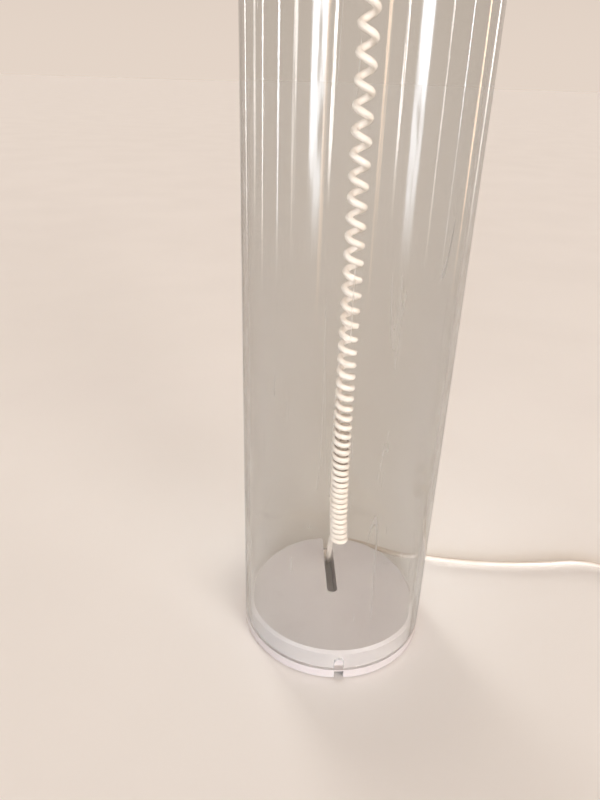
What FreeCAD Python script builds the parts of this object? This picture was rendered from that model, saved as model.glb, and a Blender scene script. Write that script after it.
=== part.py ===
"""Floor lamp: a clear tube on a white disc, a curly cord hanging on its axis, a globe bulb on top.

Millimetres, +Z up, origin on the floor under the middle of the base. The notch faces -Y, the slot +Y.
"""
import FreeCAD, Part
import math
import os

import Sketcher

Vector = FreeCAD.Vector
Z_AXIS = Vector(0, 0, 1)

# Driving dimensions: millimetres, shares of a length, or counts of turns and grips.
SIZES = {
    # Tube
    "tube_outer_d": 203.2,
    "tube_wall": 6.35,
    "tube_length": 1219.2,
    "tube_edge": 0.6,
    "notch_width": 10.2,
    "notch_height": 14.8,
    # Base
    "felt_thickness": 1.5,
    "felt_inset": 6.0,
    "flange_height": 11.0,
    "plug_height": 22.0,
    "plug_chamfer": 3.0,
    "flange_edge_round": 0.8,
    "slot_width": 12.4,
    "slot_mouth_round": 2.0,
    "channel_roof": 1.5,
    "fit_gap": 0.3,
    # Top disc
    "top_web": 13.0,
    "top_recess_d": 64.0,
    "top_edge_round": 3.0,
    # Lampholder
    "skirt_outer_d": 39.6,
    "skirt_wall": 2.8,
    "skirt_stand": 9.0,
    "collar_d": 48.0,
    "collar_height": 4.0,
    "holder_body_d": 44.0,
    "holder_body_height": 18.0,
    "ring_nut_d": 56.0,
    "ring_nut_height": 6.0,
    "ring_nut_grips": 18,
    "ring_nut_grip_d": 4.4,
    "cap_straight": 8.0,
    "cap_taper": 16.0,
    "cap_neck": 8.0,
    "cap_neck_d": 18.0,
    "cap_wall": 2.8,
    "grip_lip": 3.0,
    "core_height": 7.3,
    "core_ledge": 2.7,
    "shell_wall": 0.6,
    "shell_height": 26.0,
    "contact_d": 8.0,
    "contact_height": 2.0,
    "terminal_d": 6.0,
    "terminal_height": 3.2,
    "terminal_spacing": 18.0,
    "lead_d": 2.4,
    "lead_spacing": 3.6,
    # Bulb
    "bulb_cap_d": 26.2,
    "bulb_cap_wall": 0.8,
    "bulb_cap_floor": 2.5,
    "bulb_cap_bevel": 2.0,
    "bulb_cap_length": 22.5,
    "bulb_tip_d": 8.4,
    "bulb_tip_height": 1.6,
    "insulator_tip_d": 12.0,
    "insulator_height": 3.9,
    "globe_d": 125.0,
    "globe_glass": 0.8,
    "bulb_length": 175.0,
    "neck_d": 35.0,
    "neck_flare_share": 0.57,
    "neck_round_share": 1.1,
    "stem_d": 8.0,
    "stem_flare": 12.0,
    "stem_length": 55.0,
    "bulb_wire_d": 1.0,
    "filament_d": 0.8,
    "filament_span": 24.0,
    "filament_lift": 20.0,
    "filament_arch": 4.0,
    # Curly cord
    "cord_d": 6.3,
    "curl_radius": 6.85,
    "curl_pitch": 6.8,
    "curl_gap": 0.3,
    "closed_turns": 11,
    "open_turns": 53,
    "curl_foot_height": 105.0,
    "curl_foot_shift": 4.0,
    "curl_shift_fade": 40.0,
    "curl_lead_rise": 36.0,
    "tail_bend": 8.0,
    # Put-away length of the supply cord
    "coil_mid_radius": 32.0,
    "coil_gap": 0.5,
    "coil_turns_in": 2.75,
    "coil_turns_out": 2.8333333,
    "coil_lead": 25.0,
    "coil_tail": 10.0,
    # Tie round the coil
    "tie_width": 8.0,
    "tie_thickness": 1.0,
    "tie_gap": 0.3,
    "tie_side_gap": 0.9,
    "tie_round": 2.0,
    # In-line switch
    "switch_x": 384.0,
    "switch_y": -3.0,
    "switch_length": 54.0,
    "switch_width": 24.0,
    "switch_height": 16.0,
    "switch_wall": 2.0,
    "switch_edge_round": 1.5,
    "wheel_d": 19.0,
    "wheel_thickness": 5.4,
    "wheel_gap": 0.3,
    "wheel_proud": 1.5,
    "wheel_grips": 24,
    "wheel_grip_d": 1.2,
    "axle_d": 3.0,
    "axle_gap": 0.06,
    "switch_screw_y": 14.0,
    "switch_screw_d": 3.0,
    "switch_screw_head_d": 5.6,
    "switch_screw_head": 2.0,
    "switch_post_d": 7.0,
    "switch_screw_gap": 0.1,
    "strip_length": 14.0,
    "strip_thickness": 0.8,
    "strip_height": 5.0,
    "strip_spacing": 20.0,
    # Plug
    "relief_length": 22.0,
    "relief_d": 10.0,
    "plug_body_length": 24.0,
    "plug_shoulder": 4.0,
    "blade_length": 17.5,
    "blade_width": 6.35,
    "blade_thickness": 1.5,
    "blade_spacing": 12.7,
    "blade_root": 6.0,
}

doc = FreeCAD.newDocument("tube_floor_lamp")
sheet = doc.addObject("Spreadsheet::Sheet", "Sizes")
for row, (alias, number) in enumerate(SIZES.items(), 1):
    sheet.set(f"A{row}", alias)
    sheet.set(f"B{row}", str(number))
    sheet.setAlias(f"B{row}", alias)
doc.recompute()


class Size:
    """A length with its value and the sheet expression that gives it."""

    def __init__(self, value, text):
        self.value = value
        self.text = text

    def __add__(self, other):
        other = as_size(other)
        return Size(self.value + other.value, f"({self.text} + {other.text})")

    def __sub__(self, other):
        other = as_size(other)
        return Size(self.value - other.value, f"({self.text} - {other.text})")

    def __mul__(self, factor):
        factor = as_size(factor)
        return Size(self.value * factor.value, f"({self.text} * {factor.text})")

    def __truediv__(self, factor):
        return Size(self.value / factor, f"({self.text} / {factor})")

    def __neg__(self):
        return Size(-self.value, f"(-1 * {self.text})")


def as_size(length):
    """A Size of a plain number, or the Size itself."""
    if isinstance(length, Size):
        return length
    return Size(float(length), repr(float(length)))


def size(name):
    """The driving dimension of that name."""
    return Size(float(SIZES[name]), f"Sizes.{name}")


def leg(hypotenuse, other):
    """The third side of a right triangle."""
    value = math.sqrt(hypotenuse.value**2 - other.value**2)
    return Size(value, f"sqrt({hypotenuse.text} ^ 2 - {other.text} ^ 2)")


ZERO = as_size(0)

# Levels and radii that several pieces share
tube_r = size("tube_outer_d") / 2
bore_r = tube_r - size("tube_wall")
plug_r = bore_r - size("fit_gap")
seat_z = size("felt_thickness") + size("flange_height")
base_top_z = seat_z + size("plug_height")
tube_top_z = seat_z + size("tube_length")
lamp_top_z = tube_top_z + size("flange_height")
top_plug_z = tube_top_z - size("plug_height")
collar_z = lamp_top_z - size("top_web")
skirt_r = size("skirt_outer_d") / 2
skirt_bore_r = skirt_r - size("skirt_wall")
skirt_bottom_z = collar_z - size("holder_body_height")
grip_top_z = skirt_bottom_z - size("cap_straight") - size("cap_taper") + size("cap_wall")
cap_bottom_z = skirt_bottom_z - size("cap_straight") - size("cap_taper") - size("cap_neck")
grip_bottom_z = cap_bottom_z - size("grip_lip")
core_top_z = skirt_bottom_z + size("core_height")
bulb_tip_z = core_top_z + size("contact_height")
insulator_z = bulb_tip_z + size("bulb_tip_height")
bulb_cap_z = insulator_z + size("insulator_height")
neck_z = bulb_cap_z + size("bulb_cap_length")
bulb_cap_r = size("bulb_cap_d") / 2
cord_r = size("cord_d") / 2


def plane_of(body, role):
    """The body's own origin plane of that role."""
    return next(feature for feature in body.Origin.OriginFeatures if feature.Role == role)


def new_sketch(body, name, role, lift=ZERO):
    """An empty sketch on one of the body's origin planes, lifted along the plane's normal."""
    sketch = body.newObject("Sketcher::SketchObject", name)
    sketch.AttachmentSupport = [(plane_of(body, role), "")]
    sketch.MapMode = "FlatFace"
    sketch.setExpression("AttachmentOffset.Base.z", lift.text)
    return sketch


def bound(sketch, length, *constraint):
    """Adds a constraint whose value is bound to the sheet."""
    index = sketch.addConstraint(Sketcher.Constraint(*constraint, length.value))
    sketch.setExpression(f"Constraints[{index}]", length.text)


def arc_between(start, end, radius, clockwise):
    """The arc of less than a half circle from start to end."""
    chord = end - start
    left = Vector(-chord.y, chord.x, 0).normalize()
    if clockwise:
        left = left * -1
    sagitta = radius - math.sqrt(radius**2 - chord.Length**2 / 4)
    return Part.Arc(start, (start + end) / 2 - left * sagitta, end)


def outline(body, name, role, corners, lift=ZERO):
    """A closed sketch through (x, y) corners; a corner's radius and turn make the side after it an arc."""
    sketch = new_sketch(body, name, role, lift)
    corners = [[as_size(x), as_size(y), *arc] for x, y, *arc in corners]
    places = [Vector(x.value, y.value, 0) for x, y, *arc in corners]
    ends = []
    for i, (x, y, *arc) in enumerate(corners):
        start, end = places[i], places[(i + 1) % len(places)]
        if arc:
            radius, turn = arc
            sketch.addGeometry(arc_between(start, end, radius.value, turn == "clockwise"))
            ends.append((2, 1) if turn == "clockwise" else (1, 2))
        else:
            sketch.addGeometry(Part.LineSegment(start, end))
            ends.append((1, 2))
    for i, (x, y, *arc) in enumerate(corners):
        after = (i + 1) % len(corners)
        sketch.addConstraint(Sketcher.Constraint("Coincident", i, ends[i][1], after, ends[after][0]))
        bound(sketch, x, "DistanceX", -1, 1, i, ends[i][0])
        bound(sketch, y, "DistanceY", -1, 1, i, ends[i][0])
        if arc:
            bound(sketch, arc[0], "Radius", i)
    return sketch


def circle_sketch(body, name, role, x, y, radius, lift=ZERO):
    """A sketch of one circle."""
    sketch = new_sketch(body, name, role, lift)
    sketch.addGeometry(Part.Circle(Vector(x.value, y.value, 0), Z_AXIS, radius.value))
    bound(sketch, x, "DistanceX", -1, 1, 0, 3)
    bound(sketch, y, "DistanceY", -1, 1, 0, 3)
    bound(sketch, radius, "Radius", 0)
    return sketch


def turned(label, corners):
    """A body turned about Z from the closed profile of its (radius, height) corners."""
    body = doc.addObject("PartDesign::Body", label)
    feature = body.newObject("PartDesign::Revolution", label + "_turned")
    feature.Profile = outline(body, label + "_profile", "XZ_Plane", corners)
    feature.ReferenceAxis = (feature.Profile[0], ["V_Axis"])
    feature.Angle = 360
    doc.recompute()
    return body


def pocket(body, sketch, depth):
    """Cuts the sketch out of the body, along the sketch's normal."""
    before = body.Shape.Volume
    feature = body.newObject("PartDesign::Pocket", sketch.Label + "_cut")
    feature.Profile = sketch
    feature.Reversed = True
    feature.setExpression("Length", depth.text)
    doc.recompute()
    if not body.Shape.Volume < before:
        raise RuntimeError(f"{sketch.Label} cuts nothing")
    return feature


def rounded(body, radius, *rings):
    """Rounds the circular edges about Z at the given (radius, height) places."""
    names = []
    rounds_on = body.Tip
    for i, edge in enumerate(rounds_on.Shape.Edges, 1):
        if edge.Degenerated or not isinstance(edge.Curve, Part.Circle):
            continue
        for ring_r, ring_z in rings:
            same_r = abs(edge.Curve.Radius - ring_r.value) < 1e-3
            same_z = abs(edge.Curve.Center.z - ring_z.value) < 1e-3
            if same_r and same_z:
                names.append(f"Edge{i}")
    feature = body.newObject("PartDesign::Fillet", body.Label + "_rounds")
    feature.Base = (rounds_on, names)
    feature.setExpression("Radius", radius.text)
    doc.recompute()
    return feature


def ring_of_cuts(body, cut, count):
    """Repeats a cut round the body's Z axis."""
    axis = next(feature for feature in body.Origin.OriginFeatures if feature.Role == "Z_Axis")
    pattern = body.newObject("PartDesign::PolarPattern", cut.Label + "_ring")
    pattern.Originals = [cut]
    pattern.Axis = (axis, [""])
    pattern.Angle = 360
    pattern.setExpression("Occurrences", f"Sizes.{count}")
    body.Tip = pattern
    doc.recompute()


def place(item, x=ZERO, y=ZERO, z=ZERO):
    """Binds an object's place to the sheet."""
    for letter, length in zip("xyz", (x, y, z)):
        item.setExpression(f"Placement.Base.{letter}", as_size(length).text)


def block(name, low, high):
    """A box between two corners."""
    item = doc.addObject("Part::Box", name)
    low = [as_size(length) for length in low]
    high = [as_size(length) for length in high]
    for side, a, b in zip(("Length", "Width", "Height"), low, high):
        item.setExpression(side, (b - a).text)
    place(item, *low)
    return item


def rod(name, x, y, low_z, high_z, radius):
    """An upright cylinder."""
    item = doc.addObject("Part::Cylinder", name)
    item.setExpression("Radius", radius.text)
    item.setExpression("Height", (as_size(high_z) - low_z).text)
    place(item, x, y, low_z)
    return item


def joined(label, *items):
    """The union of several objects."""
    item = doc.addObject("Part::MultiFuse", label)
    item.Shapes = list(items)
    return item


def cut_from(label, base, *tools):
    """The base with the tools cut away."""
    tool = tools[0] if len(tools) == 1 else joined(label + "_tools", *tools)
    item = doc.addObject("Part::Cut", label)
    item.Base = base
    item.Tool = tool
    return item


def edges_rounded(label, base, radius, wanted):
    """The base with the edges that wanted picks rounded."""
    doc.recompute()
    item = doc.addObject("Part::Fillet", label)
    item.Base = base
    numbers = [i for i, edge in enumerate(base.Shape.Edges, 1) if wanted(edge)]
    item.Edges = [(i, radius.value, radius.value) for i in numbers]
    return item


def group(label, *items):
    """Like pieces that share one node, as separate solids."""
    item = doc.addObject("Part::Compound", label)
    item.Links = list(items)
    return item


def shaped(label, shape):
    """An object with a shape made from the sheet's values."""
    item = doc.addObject("Part::Feature", label)
    item.Shape = shape
    return item


def arc_edge(start, corner, end):
    """The arc that leaves start towards corner and arrives at end from it, with its radius and length."""
    turn = (corner - start).getAngle(end - corner)
    if turn < 1e-6:
        return Part.LineSegment(start, end).toShape(), math.inf, (end - start).Length
    weight = math.cos(turn / 2)
    middle = (start + corner * (2 * weight) + end) / (2 * (1 + weight))
    radius = (corner - start).Length / math.tan(turn / 2)
    return Part.Arc(start, middle, end).toShape(), radius, radius * turn


def biarc(start, heading, end, arrival):
    """Two arcs that leave start along heading and reach end along arrival."""
    chord = end - start
    bend = 2 * (1 - heading.dot(arrival))
    along = chord.dot(heading + arrival)
    if bend < 1e-9:
        reach = chord.dot(chord) / (2 * along)
    else:
        reach = (-along + math.sqrt(along**2 + bend * chord.dot(chord))) / bend
    first, second = start + heading * reach, end - arrival * reach
    middle = (first + second) / 2
    return [arc_edge(start, first, middle), arc_edge(middle, second, end)]


def tube_along(label, edges, length, diameter):
    """A round tube along joined edges, with its volume held against its section times its length."""
    spine = Part.Wire(edges)
    start = edges[0].firstVertex().Point
    heading = edges[0].tangentAt(edges[0].FirstParameter)
    section = Part.Wire(Part.Circle(start, heading, diameter / 2).toShape())
    solid = spine.makePipeShell([section], True, False)
    expected = math.pi * diameter**2 / 4 * length
    if abs(solid.Volume - expected) > 0.01 * expected:
        raise RuntimeError(f"{label}: volume {solid.Volume:.0f}, and its length gives {expected:.0f}")
    return shaped(label, solid)


def wound(label, knots, diameter, least_gap):
    """A wound tube on biarcs through (place, heading) knots, with straight ends."""
    edges, radii, length = [], [], 0.0
    for (start, heading), (end, arrival) in zip(knots, knots[1:]):
        for edge, radius, run in biarc(start, heading, end, arrival):
            edges.append(edge)
            radii.append(radius)
            length += run
    gap = gap_to_itself(edges, diameter, length)
    print(f"{label}: {length:.0f} mm long, least radius {min(radii):.2f} mm, least gap to itself {gap:.2f} mm")
    if gap < least_gap or min(radii) < diameter:
        raise RuntimeError(f"{label} lies in itself or bends tighter than the cord")
    return tube_along(label, edges, length, diameter)


def gap_to_itself(edges, diameter, length):
    """The least gap between stretches of a wound tube, measured on points along its middle line."""
    step = diameter / 4
    points = Part.Wire(edges).discretize(Number=int(length / step))
    skipped = int(2.5 * diameter / step)
    nearest = math.inf
    for i, point in enumerate(points):
        for other in points[i + skipped:]:
            if abs(other.z - point.z) < 2 * diameter:
                nearest = min(nearest, point.distanceToPoint(other))
    return nearest - diameter


def laid(label, route, diameter):
    """A free cord along a route: straight runs, and an arc at each corner as large as its runs allow."""
    edges, radii, length = [], [], 0.0
    start = route[0]
    for before, corner, after in zip(route, route[1:], route[2:]):
        inward = (corner - before).normalize()
        outward = (after - corner).normalize()
        reach = 0.45 * min((corner - before).Length, (after - corner).Length)
        first, last = corner - inward * reach, corner + outward * reach
        edge, radius, run = arc_edge(first, corner, last)
        edges += [Part.LineSegment(start, first).toShape(), edge]
        radii.append(radius)
        length += (first - start).Length + run
        start = last
    edges.append(Part.LineSegment(start, route[-1]).toShape())
    length += (route[-1] - start).Length
    print(f"{label}: {length:.0f} mm long, radii " + ", ".join(f"{radius:.0f}" for radius in radii))
    return tube_along(label, edges, length, diameter)


def smooth(share):
    """0 to 1 with level ends."""
    share = min(max(share, 0.0), 1.0)
    return share * share * (3 - 2 * share)


# Base disc with its felt, cord slot and front channel
def make_base():
    felt_r = tube_r - size("felt_inset")
    felt = turned(
        "base_felt_pad",
        [(0, 0), (felt_r, 0), (felt_r, size("felt_thickness")), (0, size("felt_thickness"))],
    )
    disc = turned(
        "base_disc",
        [
            (0, size("felt_thickness")),
            (tube_r, size("felt_thickness")),
            (tube_r, seat_z),
            (plug_r, seat_z),
            (plug_r, base_top_z - size("plug_chamfer")),
            (plug_r - size("plug_chamfer"), base_top_z),
            (0, base_top_z),
        ],
    )
    rounded(disc, size("flange_edge_round"), (tube_r, size("felt_thickness")), (tube_r, seat_z))
    half_slot = size("slot_width") / 2
    half_channel = size("notch_width") / 2
    rim = tube_r + size("plug_height")
    for body in (felt, disc):
        name = body.Label
        slot = [(-half_slot, 0), (half_slot, 0), (half_slot, rim), (-half_slot, rim)]
        pocket(body, outline(body, name + "_slot", "XY_Plane", slot), base_top_z)
        pocket(body, circle_sketch(body, name + "_slot_end", "XY_Plane", ZERO, ZERO, half_slot), base_top_z)
        channel = [(-half_channel, -rim), (half_channel, -rim), (half_channel, 0), (-half_channel, 0)]
        pocket(body, outline(body, name + "_channel", "XY_Plane", channel), seat_z - size("channel_roof"))
    corner = size("slot_mouth_round")
    wide = half_slot + corner
    mouth = leg(plug_r, wide)
    flare = [
        (-wide, mouth, corner, "clockwise"),
        (-half_slot, mouth - corner),
        (half_slot, mouth - corner, corner, "clockwise"),
        (wide, mouth),
        (wide, rim),
        (-wide, rim),
    ]
    pocket(disc, outline(disc, "base_disc_mouth", "XY_Plane", flare, seat_z), size("plug_height"))
    return [disc, felt]


# Clear tube with the notch at the foot of its front
def make_tube():
    edge = size("tube_edge")
    tube = turned(
        "acrylic_tube",
        [
            (bore_r + edge, seat_z),
            (tube_r - edge, seat_z),
            (tube_r, seat_z + edge),
            (tube_r, tube_top_z - edge),
            (tube_r - edge, tube_top_z),
            (bore_r + edge, tube_top_z),
            (bore_r, tube_top_z - edge),
            (bore_r, seat_z + edge),
        ],
    )
    half = size("notch_width") / 2
    arch_z = seat_z + size("notch_height") - half
    straight = [(-half, ZERO), (half, ZERO), (half, arch_z), (-half, arch_z)]
    pocket(tube, outline(tube, "notch_sides", "XZ_Plane", straight), size("tube_outer_d"))
    pocket(tube, circle_sketch(tube, "notch_arch", "XZ_Plane", ZERO, arch_z, half), size("tube_outer_d"))
    return [tube]


# Disc that closes the tube's top and carries the lampholder
def make_top_disc():
    hole_r = skirt_r + size("fit_gap")
    recess_r = size("top_recess_d") / 2
    disc = turned(
        "top_disc",
        [
            (hole_r, lamp_top_z),
            (tube_r, lamp_top_z),
            (tube_r, tube_top_z),
            (plug_r, tube_top_z),
            (plug_r, top_plug_z),
            (recess_r, top_plug_z),
            (recess_r, collar_z),
            (hole_r, collar_z),
        ],
    )
    rounded(disc, size("top_edge_round"), (tube_r, lamp_top_z), (plug_r, top_plug_z))
    return [disc]


# Lampholder: threaded skirt, ring nut, cap with cord grip, ceramic core and contacts
def make_lampholder():
    body_r = size("holder_body_d") / 2
    collar_r = size("collar_d") / 2
    skirt = turned(
        "holder_skirt",
        [
            (skirt_bore_r, skirt_bottom_z),
            (body_r, skirt_bottom_z),
            (body_r, collar_z - size("collar_height")),
            (collar_r, collar_z - size("collar_height")),
            (collar_r, collar_z),
            (skirt_r, collar_z),
            (skirt_r, lamp_top_z + size("skirt_stand")),
            (skirt_bore_r, lamp_top_z + size("skirt_stand")),
        ],
    )
    nut_r = size("ring_nut_d") / 2
    nut_bore = skirt_r + size("fit_gap")
    nut_top = lamp_top_z + size("ring_nut_height")
    nut = turned(
        "holder_ring_nut",
        [(nut_bore, lamp_top_z), (nut_r, lamp_top_z), (nut_r, nut_top), (nut_bore, nut_top)],
    )
    grip = circle_sketch(nut, "ring_nut_grip", "XY_Plane", nut_r, ZERO, size("ring_nut_grip_d") / 2, lamp_top_z)
    ring_of_cuts(nut, pocket(nut, grip, size("ring_nut_height")), "ring_nut_grips")
    neck_r = size("cap_neck_d") / 2
    core_r = skirt_bore_r - size("fit_gap")
    ledge_r = core_r - size("core_ledge")
    taper_top = skirt_bottom_z - size("cap_straight")
    taper_foot = taper_top - size("cap_taper")
    grip_bore = neck_r - size("cap_wall")
    cap = turned(
        "holder_cap",
        [
            (ledge_r, skirt_bottom_z),
            (body_r, skirt_bottom_z),
            (body_r, taper_top),
            (neck_r, taper_foot),
            (neck_r, cap_bottom_z),
            (grip_bore, cap_bottom_z),
            (grip_bore, grip_top_z),
            (ledge_r, taper_top - size("cap_wall")),
        ],
    )
    grip_r = grip_bore - size("fit_gap")
    cord_grip = turned(
        "cord_grip",
        [
            (0, grip_bottom_z),
            (neck_r, grip_bottom_z),
            (neck_r, cap_bottom_z),
            (grip_r, cap_bottom_z),
            (grip_r, grip_top_z),
            (0, grip_top_z),
        ],
    )
    core = turned(
        "holder_core",
        [(0, skirt_bottom_z), (core_r, skirt_bottom_z), (core_r, core_top_z), (0, core_top_z)],
    )
    shell_bore = bulb_cap_r + size("fit_gap")
    shell_r = shell_bore + size("shell_wall")
    shell_top = core_top_z + size("shell_height")
    contact_r = size("contact_d") / 2
    shell_foot_r = contact_r + size("shell_wall") * 4
    shell = turned(
        "holder_screw_shell",
        [
            (shell_foot_r, core_top_z),
            (shell_r, core_top_z),
            (shell_r, shell_top),
            (shell_bore, shell_top),
            (shell_bore, core_top_z + size("shell_wall")),
            (shell_foot_r, core_top_z + size("shell_wall")),
        ],
    )
    contact = turned(
        "holder_contact",
        [(0, core_top_z), (contact_r, core_top_z), (contact_r, bulb_tip_z), (0, bulb_tip_z)],
    )
    terminal_foot = skirt_bottom_z - size("terminal_height")
    sides = (-1, 1)
    screws = []
    leads = []
    for side in sides:
        x = size("terminal_spacing") * (side / 2)
        name = f"terminal_{side + 1}"
        screws.append(rod(name, x, ZERO, terminal_foot, skirt_bottom_z, size("terminal_d") / 2))
        near = size("lead_spacing").value * side / 2
        low, high = grip_top_z.value, terminal_foot.value
        third = (high - low) / 3
        route = [
            Vector(near, 0, low),
            Vector(near, 0, low + third),
            Vector(x.value, 0, high - third),
            Vector(x.value, 0, high),
        ]
        leads.append(laid(f"lead_{side + 1}", route, SIZES["lead_d"]))
    terminals = group("holder_terminal_screws", *screws)
    wires = group("holder_leads", *leads)
    return [skirt, nut, cap, cord_grip, core, shell, contact, terminals, wires]


# Screw-in globe bulb
def make_bulb():
    tip_r = size("bulb_tip_d") / 2
    tip = turned(
        "bulb_tip_contact",
        [(0, bulb_tip_z), (tip_r, bulb_tip_z), (tip_r, insulator_z), (0, insulator_z)],
    )
    bevel = size("bulb_cap_bevel")
    foot_r = bulb_cap_r - bevel
    insulator = turned(
        "bulb_cap_insulator",
        [
            (0, insulator_z),
            (size("insulator_tip_d") / 2, insulator_z),
            (foot_r, bulb_cap_z),
            (0, bulb_cap_z),
        ],
    )
    inner_r = bulb_cap_r - size("bulb_cap_wall")
    cap = turned(
        "bulb_cap",
        [
            (0, bulb_cap_z),
            (foot_r, bulb_cap_z),
            (bulb_cap_r, bulb_cap_z + bevel),
            (bulb_cap_r, neck_z),
            (inner_r, neck_z),
            (inner_r, bulb_cap_z + size("bulb_cap_floor")),
            (0, bulb_cap_z + size("bulb_cap_floor")),
        ],
    )
    glass = size("globe_glass")
    globe_r = size("globe_d") / 2
    centre_z = bulb_tip_z + size("bulb_length") - globe_r
    neck_r = size("neck_d") / 2
    inside_r = globe_r - glass
    join_z = centre_z - leg(globe_r, neck_r)
    flare_z = neck_z + (join_z - neck_z) * size("neck_flare_share")
    neck_round = (join_z - flare_z) * size("neck_round_share")
    inner_join_z = centre_z - leg(inside_r, neck_r - glass)
    globe = turned(
        "bulb_globe",
        [
            (bulb_cap_r - glass, neck_z),
            (bulb_cap_r, neck_z),
            (neck_r, flare_z),
            (neck_r, join_z, globe_r, "counterclockwise"),
            (0, centre_z + globe_r),
            (0, centre_z + inside_r, inside_r, "clockwise"),
            (neck_r - glass, inner_join_z),
            (neck_r - glass, flare_z),
        ],
    )
    rounded(globe, neck_round, (neck_r, join_z), (neck_r - glass, inner_join_z))
    stem_r = size("stem_d") / 2
    seal_r = bulb_cap_r - glass - size("fit_gap")
    stem_top = neck_z + size("stem_length")
    stem = turned(
        "bulb_stem",
        [
            (0, neck_z),
            (seal_r, neck_z),
            (stem_r, neck_z + size("stem_flare")),
            (stem_r, stem_top),
            (0, stem_top),
        ],
    )
    wire_d = SIZES["bulb_wire_d"]
    reach = SIZES["filament_span"] / 2
    low, lift = stem_top.value, SIZES["filament_lift"]
    near = stem_r.value / 2
    supports = []
    for side in (-1, 1):
        route = [
            Vector(side * near, 0, low),
            Vector(side * near, 0, low + lift / 4),
            Vector(side * reach, 0, low + lift / 2),
            Vector(side * reach, 0, low + lift),
        ]
        supports.append(laid(f"support_{side + 1}", route, wire_d))
    wires = group("bulb_wires", *supports)
    filament_z = low + lift + SIZES["filament_d"] / 2
    arch = SIZES["filament_arch"]
    span = [
        Vector(-reach, 0, filament_z),
        Vector(-reach / 2, 0, filament_z + arch),
        Vector(reach / 2, 0, filament_z + arch),
        Vector(reach, 0, filament_z),
    ]
    filament = laid("bulb_filament", span, SIZES["filament_d"])
    return [tip, insulator, cap, globe, stem, wires, filament]


# Curly cord on the tube's axis, from its foot up to the cord grip
def curl_place(turn):
    """The curly cord's middle line: closed turns, then turns that open steadily, then a turn into the axis."""
    pitch, closed, opened = SIZES["curl_pitch"], SIZES["closed_turns"], SIZES["open_turns"]
    foot = SIZES["curl_foot_height"]
    head = grip_bottom_z.value - SIZES["cord_d"] - SIZES["curl_lead_rise"]
    growth = 2 * (head - foot - pitch * (closed + opened)) / opened**2
    turn_length = math.hypot(2 * math.pi * SIZES["curl_radius"], pitch)
    open_turn = min(max(turn - closed, 0.0), opened)
    lead = max(turn - closed - opened, 0.0)
    now = pitch + growth * open_turn
    radius = math.sqrt(turn_length**2 - now**2) / (2 * math.pi) * (1 - smooth(lead))
    z = foot + pitch * min(turn, closed + opened) + growth * open_turn**2 / 2
    z += now * lead + (SIZES["curl_lead_rise"] - now) * lead**2
    shift = SIZES["curl_foot_shift"] * math.exp((foot - z) / SIZES["curl_shift_fade"])
    angle = math.radians(90 - 360 * turn)
    return Vector(shift * (1 - smooth(lead)) + radius * math.cos(angle), radius * math.sin(angle), z)


def curl_heading(turn):
    """The middle line's direction upwards."""
    step = 1e-4
    return (curl_place(turn + step) - curl_place(turn - step)).normalize()


def tail_line():
    """Where the curly cord's foot bends into the tail, the tail's direction and the tail's start."""
    foot, down = curl_place(0), curl_heading(0) * -1
    bend = foot + down * SIZES["tail_bend"]
    direction = (FLOOR_ROUTE[0] - bend).normalize()
    start = bend + direction * SIZES["tail_bend"]
    return start, direction, start + direction * SIZES["cord_d"]


def make_curly_cord():
    turns = SIZES["closed_turns"] + SIZES["open_turns"] + 1
    quarters = [quarter / 4 for quarter in range(4 * turns)]
    tail_start, tail_direction, tail_end = tail_line()
    grip = Vector(0, 0, grip_bottom_z.value)
    knots = [(tail_end, tail_direction * -1), (tail_start, tail_direction * -1)]
    knots += [(curl_place(turn), curl_heading(turn)) for turn in quarters]
    knots += [(grip - Z_AXIS * SIZES["cord_d"], Z_AXIS), (grip, Z_AXIS)]
    return [wound("coiled_cord", knots, SIZES["cord_d"], SIZES["curl_gap"])]


# Supply cord: the tail down through the slot, then along the floor to the switch
floor_z = cord_r.value + 0.05
switch_mid_z = SIZES["switch_height"] / 2
switch_end_y = SIZES["switch_y"] + SIZES["switch_length"] / 2
FLOOR_ROUTE = [
    Vector(1.5, 80, floor_z),
    Vector(0.8, 112, floor_z),
    Vector(28.3, 132, floor_z),
    Vector(61.7, 118.5, floor_z),
    Vector(98, 100, floor_z),
    Vector(138.5, 86.5, floor_z),
    Vector(192, 77.5, floor_z),
    Vector(247, 74, floor_z),
    Vector(298, 76, floor_z),
    Vector(334, 79.5, floor_z),
    Vector(368, 70, floor_z),
    Vector(SIZES["switch_x"], 44, switch_mid_z),
    Vector(SIZES["switch_x"], switch_end_y, switch_mid_z),
]


def make_supply_cord():
    return [laid("supply_cord", [tail_line()[2], *FLOOR_ROUTE], SIZES["cord_d"])]


# Put-away coil: a spiral in along the floor, a climb, a spiral out on top, then the plug
coil_step = SIZES["cord_d"] + SIZES["coil_gap"]
coil_start_r = SIZES["coil_mid_radius"] + coil_step * SIZES["coil_turns_in"] / 2
coil_start_y = SIZES["switch_y"] - SIZES["switch_length"] / 2 - SIZES["cord_d"] - SIZES["coil_lead"]
coil_centre = Vector(SIZES["switch_x"] + coil_start_r, coil_start_y, 0)
coil_low_z = SIZES["tie_thickness"] + SIZES["tie_gap"] + cord_r.value
coil_high_z = coil_low_z + coil_step


def coil_place(turn):
    """The coil's middle line, in turns from its start beside the switch."""
    turns_in = SIZES["coil_turns_in"]
    inward = min(turn, turns_in)
    outward = max(turn - turns_in, 0.0)
    radius = coil_start_r - coil_step * (inward - outward)
    climb = smooth((turn - turns_in) * 2 + 0.5)
    angle = math.radians(180 + 360 * turn)
    flat = Vector(radius * math.cos(angle), radius * math.sin(angle), 0)
    return coil_centre + flat + Z_AXIS * (coil_low_z + coil_step * climb)


def coil_heading(turn):
    """The coil's direction at a turn."""
    step = 1e-4
    return (coil_place(turn + step) - coil_place(turn - step)).normalize()


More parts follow.
